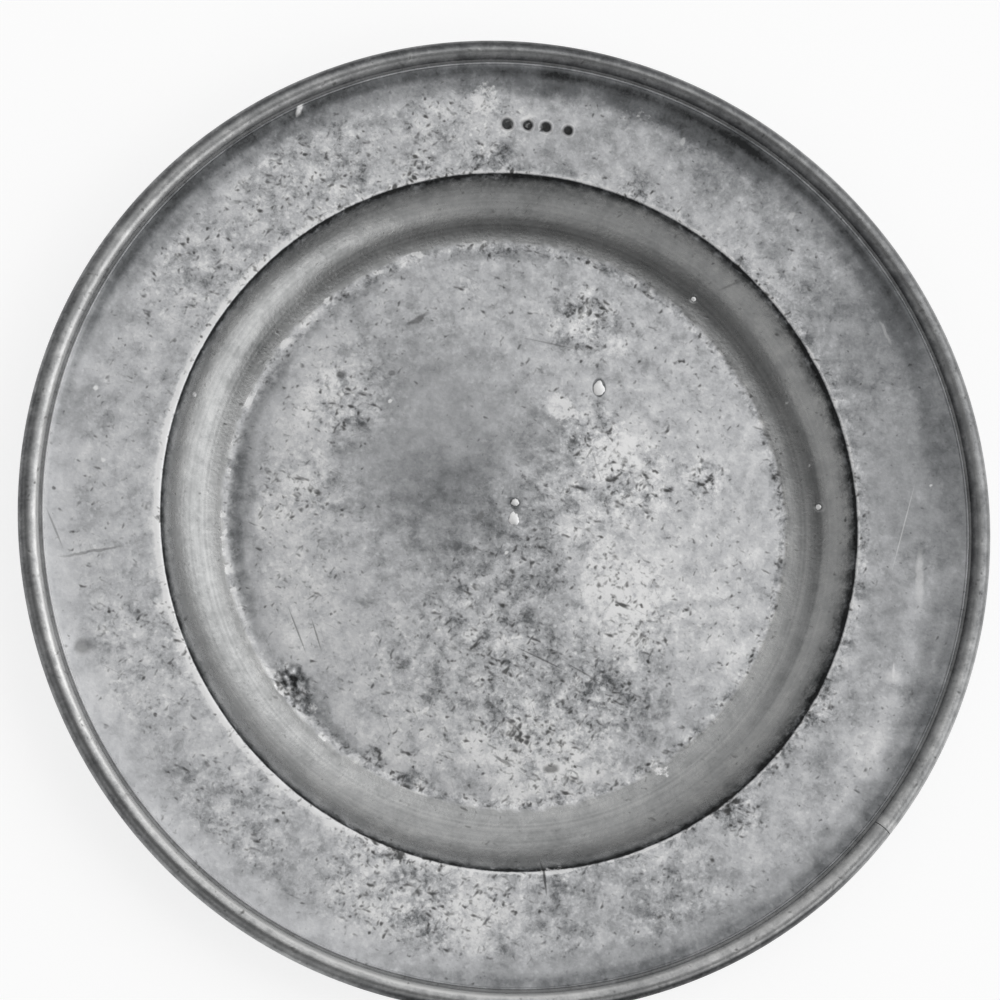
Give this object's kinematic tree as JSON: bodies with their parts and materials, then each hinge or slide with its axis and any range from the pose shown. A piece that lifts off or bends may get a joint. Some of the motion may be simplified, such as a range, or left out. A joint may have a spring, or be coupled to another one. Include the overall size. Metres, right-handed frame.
{
  "type": "pewter charger",
  "caption": "Broad-rimmed round pewter serving dish with a shallow domed well, curved wall and a half-round reed soldered round its edge.",
  "frame": {"origin": "centre of the plane that the dish rests on, on its axis", "axes": "+Z along the dish's axis, out of its hollow face; +Y towards the row of four sunk marks on the rim"},
  "size_m": [0.457, 0.457, 0.0288],
  "materials": {
    "pewter": "cast and turned pewter, worn, with a dark speckled patina",
    "worn_pewter": "pewter strip polished by handling",
    "seam_solder": "dull darkened solder",
    "bright_solder": "bright solder, slightly proud of the dish"
  },
  "bodies": {
    "root": {"dish": "pewter", "edge_reed": "worn_pewter", "reed_solder": "seam_solder", "centre_plug": "bright_solder", "upper_centre_plug": "bright_solder", "well_plug": "bright_solder", "right_booge_plug": "bright_solder", "upper_booge_plug": "bright_solder"}
  },
  "joints": []
}
